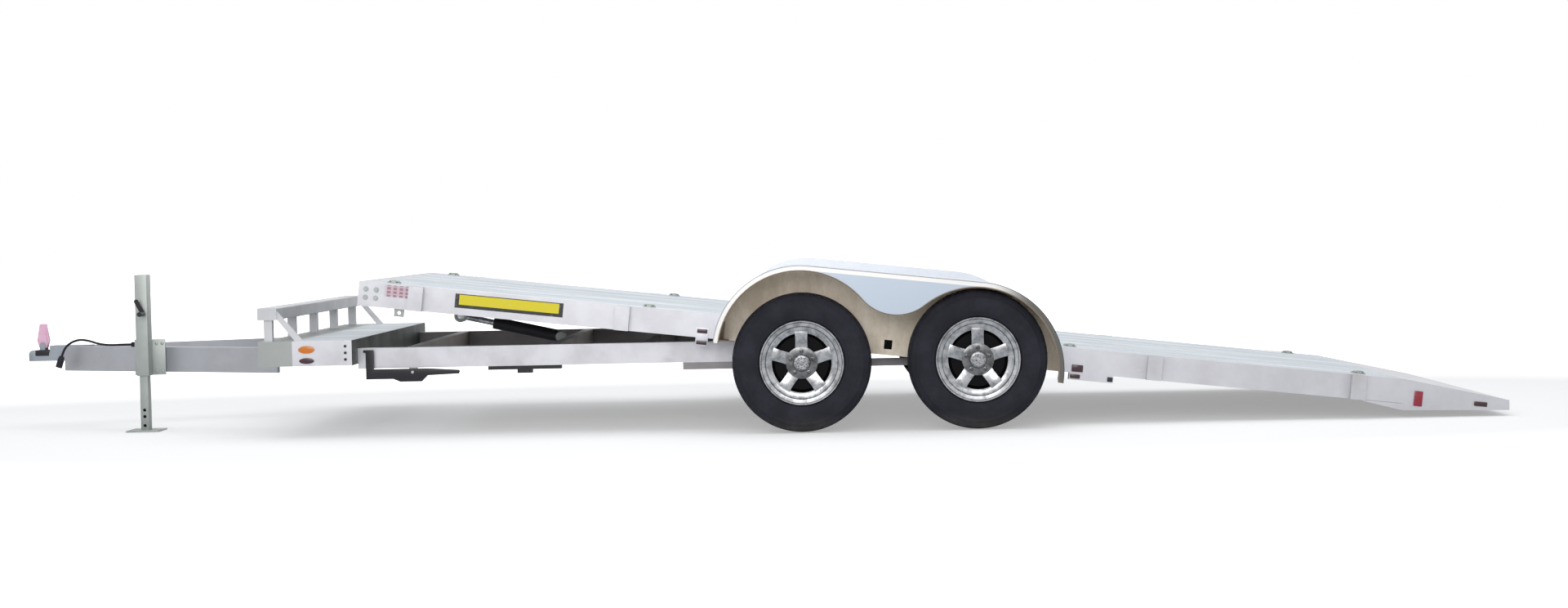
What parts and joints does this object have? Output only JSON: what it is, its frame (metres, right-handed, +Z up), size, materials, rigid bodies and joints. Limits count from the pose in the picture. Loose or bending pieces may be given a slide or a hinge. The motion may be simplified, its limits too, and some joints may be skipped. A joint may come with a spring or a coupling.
{
  "type": "tilt trailer",
  "caption": "Open aluminium tilt-deck trailer with tandem axles, A-frame tongue, fixed front platform with stop rail and a bed that tips about a cross pin.",
  "frame": {"origin": "bottom centre of the bounding box, on the ground midway between coupler nose and tail", "axes": "+X towards the tail along the trailer, +Y to the right side seen from above with the nose to the left, +Z up"},
  "size_m": [7.473, 2.578, 0.8104],
  "materials": {
    "mill_aluminium": "mill finish extrusion, satin",
    "deck_plank": "extruded plank, satin",
    "fender_sheet": "bright sheet",
    "zinc_steel": "zinc plated",
    "black_paint": "black paint, semi gloss",
    "chrome_rod": "ground and polished",
    "wheel_rim": "bright silver with a polished lip",
    "drum_iron": "dull grey",
    "tyre_rubber": "matt",
    "latch_red": "pinkish red paint",
    "lamp_lens": "amber lens",
    "lamp_dark": "dark lens",
    "lead_rubber": "matt black"
  },
  "bodies": {
    "chassis": {"chassis_rail_left": "mill_aluminium", "chassis_rail_right": "mill_aluminium", "chassis_crossmembers": "mill_aluminium", "pivot_brackets": "mill_aluminium", "front_beam": "mill_aluminium", "platform_frame": "mill_aluminium", "platform_deck": "deck_plank", "stop_rail": "mill_aluminium", "tongue_beam_left": "mill_aluminium", "tongue_beam_right": "mill_aluminium", "coupler": "zinc_steel", "jack_tube": "zinc_steel", "axle_front": "zinc_steel", "axle_rear": "zinc_steel", "cylinder_clevis": "zinc_steel", "latch_plate": "zinc_steel", "rail_bracket": "black_paint", "platform_lamps": "lamp_lens", "lead_gland": "lead_rubber", "trailer_lead": "lead_rubber", "lead_plug": "lead_rubber"},
    "bed": {"bed_rail_left": "mill_aluminium", "bed_rail_right": "mill_aluminium", "bed_header": "mill_aluminium", "bed_crossmembers": "mill_aluminium", "deck": "deck_plank", "tail_wedge": "mill_aluminium", "fender_left": "fender_sheet", "fender_right": "fender_sheet", "stake_pockets_left": "mill_aluminium", "stake_pockets_right": "mill_aluminium", "bed_pivot_lugs": "mill_aluminium", "cylinder_bracket": "zinc_steel", "latch_keeper": "zinc_steel", "rail_skids": "mill_aluminium", "bed_lamps": "lamp_dark", "tie_rings": "zinc_steel"},
    "cylinder_barrel": {"cylinder_barrel": "black_paint"},
    "cylinder_rod": {"cylinder_rod": "chrome_rod"},
    "jack_leg": {"jack_leg": "zinc_steel"},
    "jack_crank": {"jack_crank": "black_paint"},
    "coupler_latch": {"coupler_latch": "latch_red"},
    "bed_latch": {"bed_latch": "black_paint"},
    "wheel_front_left": {"tyre_front_left": "tyre_rubber", "rim_front_left": "wheel_rim", "hub_front_left": "drum_iron"},
    "wheel_front_right": {"tyre_front_right": "tyre_rubber", "rim_front_right": "wheel_rim", "hub_front_right": "drum_iron"},
    "wheel_rear_left": {"tyre_rear_left": "tyre_rubber", "rim_rear_left": "wheel_rim", "hub_rear_left": "drum_iron"},
    "wheel_rear_right": {"tyre_rear_right": "tyre_rubber", "rim_rear_right": "wheel_rim", "hub_rear_right": "drum_iron"}
  },
  "joints": [
    {"name": "bed_tilt", "type": "hinge", "parent": "chassis", "child": "bed", "pos_m": [0.306, 0, 0.45], "axis": [0, 1, 0], "range_deg": [-6.5, 0]},
    {"name": "cylinder_swing", "type": "hinge", "parent": "chassis", "child": "cylinder_barrel", "pos_m": [-0.92, 0, 0.424], "axis": [0, 1, 0], "range_deg": [-22, 0]},
    {"name": "rod_slide", "type": "slide", "parent": "cylinder_barrel", "child": "cylinder_rod", "axis": [-0.9755, 0, 0.22], "range_m": [-0.0125, 0]},
    {"name": "jack_slide", "type": "slide", "parent": "chassis", "child": "jack_leg", "axis": [0, 0, 1], "range_m": [0, 0.2]},
    {"name": "jack_crank_turn", "type": "hinge", "parent": "chassis", "child": "jack_crank", "pos_m": [-3.0265, -0.42976, 0.664], "axis": [0, 1, 0], "continuous": true},
    {"name": "coupler_latch_lift", "type": "hinge", "parent": "chassis", "child": "coupler_latch", "pos_m": [-3.6565, 0, 0.433], "axis": [0, 1, 0], "range_deg": [0, 45]},
    {"name": "bed_latch_release", "type": "hinge", "parent": "chassis", "child": "bed_latch", "pos_m": [-1.545, -0.896, 0.305], "axis": [0, 1, 0], "range_deg": [-12, 0], "stiffness_Nm_per_rad": 20, "springref_deg": 17.19},
    {"name": "wheel_front_left_spin", "type": "hinge", "parent": "chassis", "child": "wheel_front_left", "pos_m": [0.3595, -1.16, 0.3315], "axis": [0, 1, 0], "continuous": true},
    {"name": "wheel_front_right_spin", "type": "hinge", "parent": "chassis", "child": "wheel_front_right", "pos_m": [0.3595, 1.16, 0.3315], "axis": [0, 1, 0], "continuous": true},
    {"name": "wheel_rear_left_spin", "type": "hinge", "parent": "chassis", "child": "wheel_rear_left", "pos_m": [1.1925, -1.16, 0.3315], "axis": [0, 1, 0], "continuous": true},
    {"name": "wheel_rear_right_spin", "type": "hinge", "parent": "chassis", "child": "wheel_rear_right", "pos_m": [1.1925, 1.16, 0.3315], "axis": [0, 1, 0], "continuous": true}
  ],
  "couplings": [
    {"joint": "cylinder_swing", "follows": "bed_tilt", "ratio": 3.3034},
    {"joint": "rod_slide", "follows": "bed_tilt", "m_per_rad": 0.10631}
  ]
}
